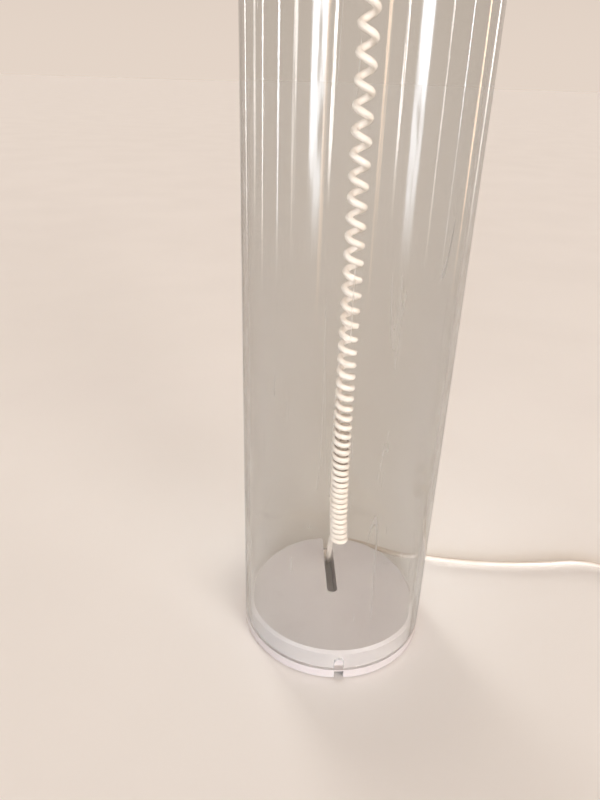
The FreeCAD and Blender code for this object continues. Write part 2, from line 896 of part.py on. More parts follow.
def make_coil():
    turns = SIZES["coil_turns_in"] + SIZES["coil_turns_out"]
    whole = int(turns * 4)
    quarters = [quarter / 4 for quarter in range(whole + 1)]
    if turns - quarters[-1] > 0.01:
        quarters.append(turns)
    face = Vector(SIZES["switch_x"], SIZES["switch_y"] - SIZES["switch_length"] / 2, switch_mid_z)
    out = Vector(0, -1, 0)
    knots = [(face, out), (face + out * SIZES["cord_d"], out)]
    knots += [(coil_place(turn), coil_heading(turn)) for turn in quarters]
    last, heading = knots[-1]
    heading = Vector(heading.x, heading.y, 0).normalize()
    knots[-1] = (last, heading)
    end = last + heading * SIZES["coil_tail"]
    knots.append((end, heading))
    coil = wound("supply_cord_coil", knots, SIZES["cord_d"], SIZES["coil_gap"] - 0.1)
    return [coil], end, heading


def make_tie():
    half = size("tie_width") / 2
    thick, gap = size("tie_thickness"), size("tie_side_gap")
    middle = coil_place(1.25) - coil_centre
    spread = size("cord_d") * 1.5 + size("coil_gap") + gap
    x, y = as_size(coil_centre.x), as_size(coil_centre.y + middle.y)
    top = size("cord_d") * 2 + size("coil_gap") + size("tie_gap") * 2 + thick
    outer = block("tie_outside", (x - half, y - spread - thick, 0), (x + half, y + spread + thick, top + thick))
    inner = block("tie_inside", (x - half * 2, y - spread, thick), (x + half * 2, y + spread, top))

    def along_x(edge):
        return abs(edge.tangentAt(edge.FirstParameter).x) > 0.9

    soft_outer = edges_rounded("tie_outside_round", outer, size("tie_round"), along_x)
    soft_inner = edges_rounded("tie_inside_round", inner, size("tie_round") / 2, along_x)
    return [cut_from("cord_tie", soft_outer, soft_inner)]


# In-line switch: two trays, a thumb wheel on an axle, two contact strips and a screw
def make_switch():
    x, y = size("switch_x"), size("switch_y")
    half_w, half_l = size("switch_width") / 2, size("switch_length") / 2
    wall, high = size("switch_wall"), size("switch_height")
    split = high / 2
    wheel_r = size("wheel_d") / 2
    wheel_x = x + half_w + size("wheel_proud") - wheel_r
    wheel_low = split - size("wheel_thickness") / 2
    wheel_high = split + size("wheel_thickness") / 2
    gap = size("wheel_gap")
    axle_r = size("axle_d") / 2
    screw_y = y + size("switch_screw_y")
    screw_r = size("switch_screw_d") / 2
    screw_hole = screw_r + size("switch_screw_gap")
    head_r = size("switch_screw_head_d") / 2
    head_z = high - size("switch_screw_head")
    screw_tip = wall * 2
    post_r = size("switch_post_d") / 2

    def window(name):
        reach = wheel_r + gap
        low = (x, y - reach, wheel_low - gap)
        return block(name, low, (x + half_w * 2, y + reach, wheel_high + gap))

    def upright(edge):
        return abs(edge.tangentAt(edge.FirstParameter).z) > 0.9

    def tray(name, low, high_z, floor_low, floor_high):
        outside = block(name + "_block", (x - half_w, y - half_l, low), (x + half_w, y + half_l, high_z))
        shell = edges_rounded(name + "_round", outside, size("switch_edge_round"), upright)
        inside_low = (x - half_w + wall, y - half_l + wall, floor_low)
        inside = block(name + "_inside", inside_low, (x + half_w - wall, y + half_l - wall, floor_high))
        hollow = cut_from(name + "_hollow", shell, inside, window(name + "_window"))
        post = rod(name + "_post", x, screw_y, floor_low, floor_high, post_r)
        return joined(name + "_with_post", hollow, post)

    lower = tray("switch_base", ZERO, split, wall, split)
    lower_hole = rod("switch_base_hole", x, screw_y, screw_tip, split, screw_hole)
    base = cut_from("switch_base", lower, lower_hole)
    upper = tray("switch_cover", split, high, split, high - wall)
    upper_hole = rod("switch_cover_hole", x, screw_y, split, high, screw_hole)
    head_hole = rod("switch_cover_head_hole", x, screw_y, head_z, high, head_r + size("switch_screw_gap"))
    cover = cut_from("switch_cover", upper, upper_hole, head_hole)
    shank = rod("switch_screw_shank", x, screw_y, screw_tip, head_z, screw_r)
    head = rod("switch_screw_head", x, screw_y, head_z, high, head_r)
    screw = joined("switch_screw", shank, head)
    axle = rod("switch_axle", wheel_x, y, wall, high - wall, axle_r)
    wheel = turned(
        "switch_wheel",
        [
            (axle_r + size("axle_gap"), ZERO),
            (wheel_r, ZERO),
            (wheel_r, size("wheel_thickness")),
            (axle_r + size("axle_gap"), size("wheel_thickness")),
        ],
    )
    grip = circle_sketch(wheel, "wheel_grip", "XY_Plane", wheel_r, ZERO, size("wheel_grip_d") / 2)
    ring_of_cuts(wheel, pocket(wheel, grip, size("wheel_thickness")), "wheel_grips")
    place(wheel, wheel_x, y, wheel_low)
    strip_x = x - half_w + wall
    strips = []
    for side in (-1, 1):
        middle = y + size("strip_spacing") * (side / 2)
        low = (strip_x, middle - size("strip_length") / 2, wall)
        top = (strip_x + size("strip_thickness"), middle + size("strip_length") / 2, wall + size("strip_height"))
        strips.append(block(f"strip_{side + 1}", low, top))
    contacts = group("switch_contacts", *strips)
    return [base, cover, screw, axle, wheel, contacts]


# Mains plug on the coil's end
def make_plug(end, heading):
    plug_half = as_size(end.z)
    relief = size("relief_length")
    shoulder = relief + size("plug_shoulder")
    length = relief + size("plug_body_length")
    body = turned(
        "plug_body",
        [
            (0, ZERO),
            (cord_r + size("switch_wall") / 2, ZERO),
            (size("relief_d") / 2, relief),
            (plug_half - size("plug_shoulder") / 2, relief),
            (plug_half, shoulder),
            (plug_half, length),
            (0, length),
        ],
    )
    half_t, half_w = size("blade_thickness") / 2, size("blade_width") / 2
    root = length - size("blade_root")
    blades = []
    for side in (-1, 1):
        middle = size("blade_spacing") * (side / 2)
        low = (middle - half_t, -half_w, root)
        high = (middle + half_t, half_w, length + size("blade_length"))
        slot = [(middle - half_t, -half_w), (middle + half_t, -half_w), (middle + half_t, half_w)]
        slot.append((middle - half_t, half_w))
        pocket(body, outline(body, f"blade_slot_{side + 1}", "XY_Plane", slot, root), size("blade_root"))
        blades.append(block(f"blade_{side + 1}", low, high))
    pair = group("plug_blades", *blades)
    across = Vector(0, 0, 1).cross(heading)
    turn = FreeCAD.Rotation(across, Vector(0, 0, 1), heading, "ZXY")
    for item in (body, pair):
        item.Placement = FreeCAD.Placement(end, turn)
    return [body, pair]


pieces = make_base() + make_tube() + make_top_disc() + make_lampholder() + make_bulb()
pieces += make_curly_cord() + make_supply_cord()
coil_pieces, coil_end, coil_out = make_coil()
pieces += coil_pieces + make_tie() + make_switch() + make_plug(coil_end, coil_out)

doc.recompute()
for item in doc.Objects:
    if "Invalid" in item.State or "Error" in item.State:
        raise RuntimeError(f"{item.Label} failed: {item.State}")
for piece in pieces:
    if piece.Shape.isNull() or not piece.Shape.isValid():
        raise RuntimeError(f"{piece.Label} has no valid shape")

os.makedirs("parts", exist_ok=True)
for piece in pieces:
    piece.Shape.exportStep(f"parts/{piece.Label}.step")
print(f"{len(pieces)} pieces")
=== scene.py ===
"""Looks of the tube floor lamp: its visible pieces, cords, materials, light and camera.

Metres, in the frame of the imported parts: +Z up, the notch towards -Y, the slot towards +Y.
"""

import bmesh
import bpy
import math
from mathutils import Matrix, Vector


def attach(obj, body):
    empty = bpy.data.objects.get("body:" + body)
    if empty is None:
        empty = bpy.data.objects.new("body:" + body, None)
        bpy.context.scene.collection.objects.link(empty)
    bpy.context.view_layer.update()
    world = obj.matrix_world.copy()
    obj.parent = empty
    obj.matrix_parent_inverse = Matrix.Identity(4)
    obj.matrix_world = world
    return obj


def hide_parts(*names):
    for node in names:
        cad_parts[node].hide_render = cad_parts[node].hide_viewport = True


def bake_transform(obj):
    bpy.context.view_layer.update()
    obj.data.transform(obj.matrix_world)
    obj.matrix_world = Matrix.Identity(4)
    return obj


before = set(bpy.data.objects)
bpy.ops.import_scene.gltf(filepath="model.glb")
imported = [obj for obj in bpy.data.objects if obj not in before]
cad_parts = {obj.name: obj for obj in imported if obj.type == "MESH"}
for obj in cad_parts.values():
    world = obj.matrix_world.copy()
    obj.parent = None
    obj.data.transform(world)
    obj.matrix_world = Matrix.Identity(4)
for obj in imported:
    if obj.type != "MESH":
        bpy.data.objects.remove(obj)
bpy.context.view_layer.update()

# Levels and radii of the lamp
TUBE_R, BORE_R, PLUG_R, FELT_R = 0.1016, 0.09525, 0.09495, 0.0956
FELT_TOP, SEAT, BASE_TOP = 0.0015, 0.0125, 0.0345
TUBE_TOP, LAMP_TOP, TOP_PLUG = 1.2317, 1.2427, 1.2097
COLLAR, SKIRT_FOOT, SKIRT_TOP = 1.2297, 1.2117, 1.2517
GRIP_TOP, CAP_FOOT, GRIP_FOOT = 1.1905, 1.1797, 1.1767
BULB_CAP, NECK, GLOBE_MID, GLOBE_R = 1.2265, 1.249, 1.3335, 0.0625
HOLDER_HOLE, CORD_D = 0.0201, 0.0063
# Half widths of the base's slot, and of its front channel and the tube's notch
SLOT_HALF, CHANNEL_HALF = 0.0062, 0.0051


# Mesh helpers


def added(name, data):
    """A new object in the scene."""
    obj = bpy.data.objects.new(name, data)
    bpy.context.scene.collection.objects.link(obj)
    return obj


def evaluated(obj):
    """The object's mesh with its modifiers applied."""
    graph = bpy.context.evaluated_depsgraph_get()
    return bpy.data.meshes.new_from_object(obj.evaluated_get(graph))


def soften(corners, steps=6, closed=True):
    """Points of an outline of (x, y, radius) corners, with an arc of that radius at each one."""
    points = []
    for i, (x, y, radius) in enumerate(corners):
        corner = Vector((x, y))
        if radius == 0 or (not closed and i in (0, len(corners) - 1)):
            points.append(corner)
            continue
        before = (Vector(corners[i - 1][:2]) - corner).normalized()
        after = (Vector(corners[(i + 1) % len(corners)][:2]) - corner).normalized()
        half = before.angle(after) / 2
        centre = corner + (before + after).normalized() * (radius / math.sin(half))
        first = corner + before * (radius / math.tan(half)) - centre
        last = corner + after * (radius / math.tan(half)) - centre
        swing = math.pi - 2 * half
        for step in range(steps + 1):
            share = step / steps
            weights = math.sin((1 - share) * swing), math.sin(share * swing)
            points.append(centre + (first * weights[0] + last * weights[1]) / math.sin(swing))
    return points


def arc(x, y, radius, start, end, steps=12):
    """Points on an arc, in degrees, as outline corners with no rounding."""
    angles = [math.radians(start + (end - start) * step / steps) for step in range(steps + 1)]
    return [(x + radius * math.cos(angle), y + radius * math.sin(angle), 0) for angle in angles]


def column(radius, low, high, steps):
    """Profile corners up a straight wall, close enough together to carry a thread."""
    return [(radius, low + (high - low) * step / steps, 0) for step in range(steps + 1)]


def lathe(profile, segments=160, closed=True, wave=None):
    """A mesh turned about Z from (radius, height) points; wave shifts radii by height and angle."""
    verts, faces, rows = [], [], []
    for radius, height in profile:
        if radius < 1e-7:
            rows.append([len(verts)] * segments)
            verts.append((0, 0, height))
            continue
        rows.append(list(range(len(verts), len(verts) + segments)))
        for step in range(segments):
            angle = 2 * math.pi * step / segments
            reach = wave(radius, height, angle) if wave else radius
            verts.append((reach * math.cos(angle), reach * math.sin(angle), height))
    pairs = list(zip(rows, rows[1:])) + ([(rows[-1], rows[0])] if closed else [])
    for low, high in pairs:
        for step in range(segments):
            after = (step + 1) % segments
            corners = [low[step], low[after], high[after], high[step]]
            face = [corner for i, corner in enumerate(corners) if corner not in corners[:i]]
            if len(face) > 2:
                faces.append(face)
    return mesh_of(verts, faces)


def mesh_of(verts, faces):
    """A mesh with its faces turned outwards."""
    mesh = bpy.data.meshes.new("mesh")
    mesh.from_pydata(verts, [], faces)
    shape = bmesh.new()
    shape.from_mesh(mesh)
    bmesh.ops.recalc_face_normals(shape, faces=shape.faces)
    shape.to_mesh(mesh)
    shape.free()
    return mesh


def thread_wave(radius, low, high, pitch, depth):
    """A screw thread cut into the wall of that radius between two heights."""

    def wave(reach, height, angle):
        if abs(reach - radius) > 1e-6 or not low <= height <= high:
            return reach
        fade = min(1, (height - low) / pitch, (high - height) / pitch)
        turn = 2 * math.pi * height / pitch - angle
        return reach - depth * fade * (0.5 - 0.5 * math.cos(turn))

    return wave


def grip_wave(radius, count, depth):
    """Round finger grips cut into the rim of that radius."""
    rim, share = 0.002, 0.55

    def wave(reach, height, angle):
        if reach < radius - rim:
            return reach
        swing = abs((angle * count / (2 * math.pi) + 0.5) % 1 - 0.5) * 2
        return reach - depth * math.sqrt(max(0, 1 - (swing / share) ** 2))

    return wave


def prism(outline, low, high, axis="z"):
    """A straight block over a plan outline, or over an (x, z) outline along y."""
    count = len(outline)
    verts = []
    for level in (low, high):
        for x, y, *_ in outline:
            verts.append((x, y, level) if axis == "z" else (x, level, y))
    faces = [list(range(count)), list(range(2 * count - 1, count - 1, -1))]
    for i in range(count):
        after = (i + 1) % count
        faces.append([i, after, count + after, count + i])
    return mesh_of(verts, faces)


def brick(low, high, radius=0.0, steps=3):
    """A box between two corners, with rounded edges."""
    shape = bmesh.new()
    bmesh.ops.create_cube(shape, size=1)
    size = Vector(high) - Vector(low)
    for vert in shape.verts:
        vert.co = Vector(low) + Vector([(c + 0.5) * s for c, s in zip(vert.co, size)])
    if radius:
        bmesh.ops.bevel(
            shape,
            geom=shape.edges[:],
            offset=radius,
            segments=steps,
            profile=0.5,
            affect="EDGES",
        )
    mesh = bpy.data.meshes.new("mesh")
    shape.to_mesh(mesh)
    shape.free()
    return mesh


def carved(mesh, cuts, bevel=0.0, operation="DIFFERENCE"):
    """The mesh with the cut meshes taken away, or kept for INTERSECT, and the new edges broken."""
    block = added("block", mesh)
    tools = [added("tool", cut) for cut in cuts]
    for tool in tools:
        step = block.modifiers.new("cut", "BOOLEAN")
        step.object, step.operation, step.solver = tool, operation, "EXACT"
    if bevel:
        step = block.modifiers.new("edges", "BEVEL")
        step.width, step.segments = bevel, 2
        step.limit_method, step.angle_limit = "ANGLE", math.radians(50)
    result = evaluated(block)
    for extra in [block, *tools]:
        bpy.data.objects.remove(extra)
    return result


def merged(*meshes):
    """Several meshes as one."""
    shape = bmesh.new()
    for mesh in meshes:
        shape.from_mesh(mesh)
    mesh = bpy.data.meshes.new("mesh")
    shape.to_mesh(mesh)
    shape.free()
    return mesh


def piece(name, mesh, look, body, slot, *nodes, sharp=35):
    """A piece on a body, in place of those CAD nodes.

    Its shading is weighted, so that flat faces stay flat beside their rounded edges.
    """
    mesh.polygons.foreach_set("use_smooth", [True] * len(mesh.polygons))
    mesh.set_sharp_from_angle(angle=math.radians(sharp))
    mesh.materials.clear()
    mesh.materials.append(look)
    obj = added(name, mesh)
    obj.modifiers.new("flats", "WEIGHTED_NORMAL").keep_sharp = True
    obj.data = evaluated(obj)
    obj.modifiers.clear()
    obj.data.name = name
    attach(obj, body)
    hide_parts(*nodes)
    return obj


# Cord helpers


def spline(name, points, diameter=0.0, steps=8):
    """A smooth curve with these control points, round if it has a diameter."""
    curve = bpy.data.curves.new(name, "CURVE")
    curve.dimensions = "3D"
    line = curve.splines.new("NURBS")
    line.points.add(len(points) - 1)
    for target, point in zip(line.points, points):
        target.co = (*point, 1)
    line.order_u = 3
    line.use_endpoint_u = True
    curve.resolution_u = steps
    curve.bevel_depth = diameter / 2
    curve.bevel_resolution = 7
    curve.use_fill_caps = True
    return added(name, curve)


def line_of(points, steps):
    """Close points along the smooth curve with these control points."""
    guide = spline("guide", points, steps=steps)
    mesh = bpy.data.meshes.new_from_object(guide)
    line = [mesh.vertices[0].co.copy()]
    for vert in mesh.vertices:
        if (vert.co - line[-1]).length > 1e-5:
            line.append(vert.co.copy())
    bpy.data.objects.remove(guide)
    return line


def tube_mesh(line, radius, sides=16):
    """A round tube along close points, without twist."""
    verts, faces = [], []
    across = None
    for i, point in enumerate(line):
        ahead = (line[min(i + 1, len(line) - 1)] - line[max(i - 1, 0)]).normalized()
        across = ahead.orthogonal() if across is None else across - ahead * across.dot(ahead)
        across.normalize()
        up = ahead.cross(across)
        for side in range(sides):
            angle = 2 * math.pi * side / sides
            verts.append(point + (across * math.cos(angle) + up * math.sin(angle)) * radius)
    for ring in range(len(line) - 1):
        for side in range(sides):
            after = (side + 1) % sides
            row, above = ring * sides, (ring + 1) * sides
            faces.append([row + side, row + after, above + after, above + side])
    faces.append(list(range(sides)))
    faces.append(list(range(len(verts) - sides, len(verts))))
    return mesh_of(verts, faces)


# Material helpers


class Nodes:
    """A node tree with short calls for its patterns."""

    def __init__(self, tree):
        self.tree = tree

    def node(self, kind, **settings):
        node = self.tree.nodes.new(kind)
        for name, value in settings.items():
            setattr(node, name, value)
        return node

    def link(self, source, target):
        self.tree.links.new(source, target)

    def split(self, source):
        """The X, Y and Z of a vector."""
        node = self.node("ShaderNodeSeparateXYZ")
        self.link(source, node.inputs[0])
        return node.outputs

    def mapped_noise(self, source, scale, detail, distortion, stretch, shift=(0, 0, 0)):
        mapping = self.node("ShaderNodeMapping")
        mapping.inputs["Location"].default_value = shift
        mapping.inputs["Scale"].default_value = stretch
        self.link(source, mapping.inputs["Vector"])
        node = self.node("ShaderNodeTexNoise")
        node.inputs["Scale"].default_value = scale
        node.inputs["Detail"].default_value = detail
        node.inputs["Distortion"].default_value = distortion
        self.link(mapping.outputs["Vector"], node.inputs["Vector"])
        return node.outputs["Fac"]

    def span(self, factor, low, high, to_low=0.0, to_high=1.0):
        """A smooth step from one value to another while the factor goes from low to high."""
        node = self.node("ShaderNodeMapRange", interpolation_type="SMOOTHSTEP")
        names = "From Min", "From Max", "To Min", "To Max"
        for name, value in zip(names, (low, high, to_low, to_high)):
            node.inputs[name].default_value = value
        self.link(factor, node.inputs["Value"])
        return node.outputs["Result"]

    def blend(self, factor, first, second):
        """A colour between two colours or sockets."""
        node = self.node("ShaderNodeMix", data_type="RGBA")
        self.link(factor, node.inputs["Factor"])
        for socket, value in zip((node.inputs[6], node.inputs[7]), (first, second)):
            if isinstance(value, tuple):
                socket.default_value = (*value, 1)
            else:
                self.link(value, socket)
        return node.outputs[2]

    def calc(self, operation, *values):
        """The result of a sum on sockets and numbers."""
        node = self.node("ShaderNodeMath", operation=operation)
        for socket, value in zip(node.inputs, values):
            if isinstance(value, float):
                socket.default_value = value
            else:
                self.link(value, socket)
        return node.outputs[0]

    def plus(self, first, second):
        return self.calc("ADD", first, second)

    def times(self, first, second):
        return self.calc("MULTIPLY", first, second)


class Look(Nodes):
    """A material with one Principled shader, and patterns in the piece's own place."""

    def __init__(self, name, **values):
        self.material = bpy.data.materials.new(name)
        self.material.use_nodes = True
        super().__init__(self.material.node_tree)
        self.shader = self.tree.nodes["Principled BSDF"]
        self.output = self.tree.nodes["Material Output"]
        self.place = self.node("ShaderNodeTexCoord").outputs["Object"]
        for name, value in values.items():
            socket = name.replace("_", " ").title().replace("Ior", "IOR")
            self.shader.inputs[socket].default_value = value

    def noise(self, scale, detail=4.0, stretch=(1, 1, 1), distortion=0.0):
        return self.mapped_noise(self.place, scale, detail, distortion, stretch)

    def vary(self, noise, low=0.0, high=1.0):
        """From low to high over the middle values of a noise, where most of it lies."""
        return self.span(noise, 0.3, 0.7, low, high)

    def facing(self):
        """The way that the faces look."""
        return self.node("ShaderNodeNewGeometry").outputs["True Normal"]

    def sawn_ends(self):
        """1 on the faces that don't look straight out of the Z axis: sawn ends and cut edges."""
        flat = self.node("ShaderNodeVectorMath", operation="MULTIPLY")
        self.link(self.place, flat.inputs[0])
        flat.inputs[1].default_value = (1, 1, 0)
        outward = self.node("ShaderNodeVectorMath", operation="NORMALIZE")
        self.link(flat.outputs[0], outward.inputs[0])
        dot = self.node("ShaderNodeVectorMath", operation="DOT_PRODUCT")
        self.link(outward.outputs[0], dot.inputs[0])
        self.link(self.facing(), dot.inputs[1])
        return self.span(self.calc("ABSOLUTE", dot.outputs["Value"]), 0.95, 0.8)

    def crease_shade(self):
        """1 where shade is painted between the curly cord's closed turns: its faces that look
        straight up or down.
        """
        height = self.split(self.place)["Z"]
        level = self.calc("ABSOLUTE", self.split(self.facing())["Z"])
        below, above = self.span(height, 0.32, 0.22), self.span(height, 0.098, 0.102)
        return self.times(self.times(self.span(level, 0.86, 0.98), below), above)

    def hairlines(self, scale, stretch, width, rare):
        """1 on thin broken lines: along the middle of one noise, where a second noise is high."""
        middle = self.calc("SUBTRACT", self.noise(scale, 1.0, stretch), 0.5)
        lines = self.span(self.calc("ABSOLUTE", middle), width, 0.2 * width)
        patches = self.span(self.noise(16, 2, (1, 1, 0.3)), rare, rare + 0.05)
        return self.times(lines, patches)

    def colour(self, source):
        self.link(source, self.shader.inputs["Base Color"])
        return self

    def roughness(self, source):
        self.link(source, self.shader.inputs["Roughness"])
        return self

    def bump(self, height, strength, distance):
        node = self.node("ShaderNodeBump")
        node.inputs["Strength"].default_value = strength
        node.inputs["Distance"].default_value = distance
        self.link(height, node.inputs["Height"])
        self.link(node.outputs["Normal"], self.shader.inputs["Normal"])
        return self


def paint(name, pale, dull, shine):
    """Sprayed satin paint: faint clouds, fine orange peel, handling marks and a few dark specks."""
    look = Look(name)
    clouds = look.span(look.noise(14, 5), 0.35, 0.7)
    marks = look.span(look.noise(60, 8, (1, 1, 1), 1.5), 0.62, 0.78)
    specks = look.span(look.noise(330, 2), 0.72, 0.78, 0.0, 0.6)
    handled = look.blend(marks, look.blend(clouds, pale, dull), tuple(c * 0.9 for c in dull))
    look.colour(look.blend(specks, handled, tuple(c * 0.4 for c in dull)))
    look.roughness(look.plus(look.vary(look.noise(45, 6), shine, shine + 0.12), marks))
    return look.bump(look.noise(1400, 2), 0.12, 0.00025).material


def plastic(name, pale, dull, shine):
    """Moulded plastic: slow colour drift, fine grain and faint rub marks."""
    look = Look(name, coat_weight=0.1, coat_roughness=0.2)
    drift = look.vary(look.noise(40, 3))
    rubs = look.span(look.noise(150, 2, (1, 1, 0.3)), 0.45, 0.95, 0.0, 0.5)
    look.colour(look.blend(rubs, look.blend(drift, pale, dull), tuple(c * 0.86 for c in dull)))
    look.roughness(look.vary(look.noise(180, 5), shine, shine + 0.15))
    return look.bump(look.noise(2600, 2), 0.08, 0.0002).material


def metal(name, pale, dull, shine, stretch=(1, 1, 1)):
    """Drawn or spun metal: fine lines and a dull bloom in places."""
    look = Look(name, metallic=1.0)
    bloom = look.span(look.noise(120, 5), 0.4, 0.75)
    lines = look.noise(900, 3, stretch)
    look.colour(look.blend(bloom, pale, dull))
    sheen = look.vary(lines, shine, shine + 0.12)
    look.roughness(look.plus(sheen, look.times(bloom, 0.15)))
    return look.bump(lines, 0.15, 0.0001).material


def cord_look():
    """Cream cord jacket: soft sheen, slow yellowing, handling marks, and painted shade between
    closed turns.
    """
    look = Look("cream_jacket", coat_weight=0.5, coat_roughness=0.09)
    yellowing = look.vary(look.noise(22, 4))
    grime = look.span(look.noise(150, 6, (1, 1, 1), 0.8), 0.56, 0.78)
    cream = look.blend(yellowing, (0.765, 0.675, 0.59), (0.725, 0.62, 0.525))
    worn = look.blend(grime, cream, (0.64, 0.54, 0.46))
    # painted shade: the faces between the closed turns are darkened towards brown
    look.colour(look.blend(look.crease_shade(), worn, (0.30, 0.22, 0.17)))
    look.roughness(look.vary(look.noise(260, 4), 0.3, 0.46))
    return look.bump(look.noise(1900, 3), 0.1, 0.00025).material


def acrylic_look():
    """Clear tube: polished, faintly grey, with hairline scratches; it casts almost no shadow."""
    look = Look("clear_acrylic", transmission_weight=1.0, ior=1.49)
    fine = look.span(look.noise(500, 6, (1, 1, 0.03)), 0.68, 0.74)
    sawn = look.sawn_ends()
    scratch = look.hairlines(34, (1, 1, 0.05), 0.008, 0.57)
    haze = look.plus(look.times(fine, 0.12), look.times(sawn, 0.38))
    haze = look.plus(haze, look.times(scratch, 0.45))
    look.colour(look.blend(sawn, (0.96, 0.965, 0.96), (0.62, 0.61, 0.57)))
    look.roughness(look.plus(haze, 0.015))
    ripples = look.times(look.noise(22, 2, (1, 1, 0.12)), 0.35)
    waves = look.plus(look.noise(5, 2, (1, 1, 0.3)), ripples)
    look.bump(look.plus(waves, look.times(scratch, 0.1)), 0.16, 0.004)
    rays = look.node("ShaderNodeLightPath")
    clear = look.node("ShaderNodeBsdfTransparent")
    clear.inputs["Color"].default_value = (0.99, 0.99, 0.985, 1)
    mixed = look.node("ShaderNodeMixShader")
    look.link(rays.outputs["Is Shadow Ray"], mixed.inputs["Fac"])
    look.link(look.shader.outputs["BSDF"], mixed.inputs[1])
    look.link(clear.outputs["BSDF"], mixed.inputs[2])
    look.link(mixed.outputs["Shader"], look.output.inputs["Surface"])
    soak = look.node("ShaderNodeVolumeAbsorption")
    soak.inputs["Color"].default_value = (0.42, 0.42, 0.40, 1)
    soak.inputs["Density"].default_value = 40.0
    look.link(soak.outputs["Volume"], look.output.inputs["Volume"])
    return look.material


def opal_look():
    """Opal glass of the globe: white, glossy and slightly uneven in the glass."""
    look = Look("opal_glass", coat_weight=0.5, coat_roughness=0.04)
    swirl = look.vary(look.noise(18, 3, (1, 1, 0.5), 0.6))
    look.colour(look.blend(swirl, (0.80, 0.785, 0.755), (0.76, 0.74, 0.705)))
    look.roughness(look.vary(look.noise(60, 4), 0.1, 0.2))
    return look.bump(look.noise(30, 2), 0.05, 0.001).material


def felt_look():
    """Pressed felt under the base."""
    look = Look("grey_felt", sheen_weight=0.3, sheen_roughness=0.5)
    fibres = look.noise(2500, 6, (1, 1, 4), 1.0)
    look.colour(look.blend(look.vary(fibres), (0.14, 0.135, 0.13), (0.32, 0.31, 0.30)))
    look.roughness(look.vary(fibres, 0.85, 1.0))
    return look.bump(fibres, 0.5, 0.0004).material


def glaze_look(name, pale, dull, shine):
    """Fired ceramic or glass bead: a thin glaze over a slightly pitted body."""
    look = Look(name, coat_weight=0.6, coat_roughness=0.08)
    pits = look.span(look.noise(700, 4), 0.62, 0.75)
    look.colour(look.blend(pits, pale, dull))
    look.roughness(look.vary(look.noise(90, 3), shine, shine + 0.1))
    return look.bump(look.noise(400, 3), 0.1, 0.0003).material


def stem_look():
    """Clear glass of the bulb's stem, with drawn lines."""
    look = Look("stem_glass", base_color=(0.9, 0.94, 0.92, 1), transmission_weight=1.0, ior=1.5)
    look.roughness(look.vary(look.noise(300, 4, (1, 1, 0.05)), 0.02, 0.12))
    return look.bump(look.noise(200, 2, (1, 1, 0.05)), 0.1, 0.0003).material


white_paint = paint("white_paint", (0.560, 0.503, 0.480), (0.528, 0.467, 0.443), 0.36)
top_paint = paint("white_satin", (0.68, 0.635, 0.605), (0.645, 0.595, 0.56), 0.34)
acrylic = acrylic_look()
cream = cord_look()
holder_plastic = plastic("holder_plastic", (0.70, 0.665, 0.61), (0.655, 0.61, 0.55), 0.24)
wheel_plastic = plastic("wheel_plastic", (0.42, 0.36, 0.29), (0.34, 0.28, 0.22), 0.28)
tie_plastic = plastic("tie_plastic", (0.70, 0.69, 0.66), (0.64, 0.62, 0.59), 0.5)
brass = metal("brass", (0.80, 0.62, 0.31), (0.58, 0.42, 0.20), 0.2)
steel = metal("steel", (0.66, 0.66, 0.66), (0.42, 0.42, 0.42), 0.25)
aluminium = metal("bulb_aluminium", (0.78, 0.78, 0.79), (0.58, 0.58, 0.60), 0.28, (1, 1, 0.1))
opal = opal_look()
felt = felt_look()
porcelain = glaze_look("porcelain", (0.86, 0.85, 0.81), (0.74, 0.72, 0.67), 0.2)
black_glass = glaze_look("black_glass", (0.015, 0.015, 0.018), (0.04, 0.04, 0.045), 0.08)
stem_glass = stem_look()


# Camera


def make_camera():
    """A camera fitted to the photograph's tube edges and base rims, for an image 800 high.

    The fit is turned about Z, so that the lamp's notch lies at -Y.
    """
    focal, long_side = 647.0, 800
    yaw, pitch, roll = math.radians(-4.38), math.radians(26.58), math.radians(1.77)
    eye = Vector((0, -0.5857, 0.5707))
    turn = Matrix.Rotation(math.radians(-7.1), 3, "Z")
    flat = math.cos(pitch)
    ahead = Vector((math.sin(yaw) * flat, math.cos(yaw) * flat, -math.sin(pitch)))
    right = Vector((math.cos(yaw), -math.sin(yaw), 0))
    up = right.cross(ahead)
    side = right * math.cos(roll) + up * math.sin(roll)
    top = up * math.cos(roll) - right * math.sin(roll)
    data = bpy.data.cameras.new("camera")
    data.sensor_width = 36.0
    data.lens = focal / long_side * data.sensor_width
    data.clip_start, data.clip_end = 0.02, 60
    camera = added("camera", data)
    axes = turn @ Matrix((side, top, -ahead)).transposed()
    camera.matrix_world = Matrix.Translation(turn @ eye) @ axes.to_4x4()
    bpy.context.scene.camera = camera


make_camera()


# Cords


# A smooth curve runs inside the control points of a turn, so they stand further out
TURN_POINTS = 16
TURN_SWELL = 1 / math.cos(math.pi / TURN_POINTS)
# The curly cord: its turns' radius, the closed turns' pitch, and how many are closed and open
CURL_R, CURL_PITCH, CLOSED_TURNS, OPEN_TURNS = 0.00685, 0.0068, 11, 53
# Its lowest turn, the height of its last turn, and where the supply cord goes on from it
CURL_FOOT, CURL_RISE = 0.105, 0.036
CORD_JOIN = (-0.003278, 0.015256, 0.092180)


def smooth(share):
    """A smooth step from 0 to 1."""
    share = min(max(share, 0.0), 1.0)
    return share * share * (3 - 2 * share)


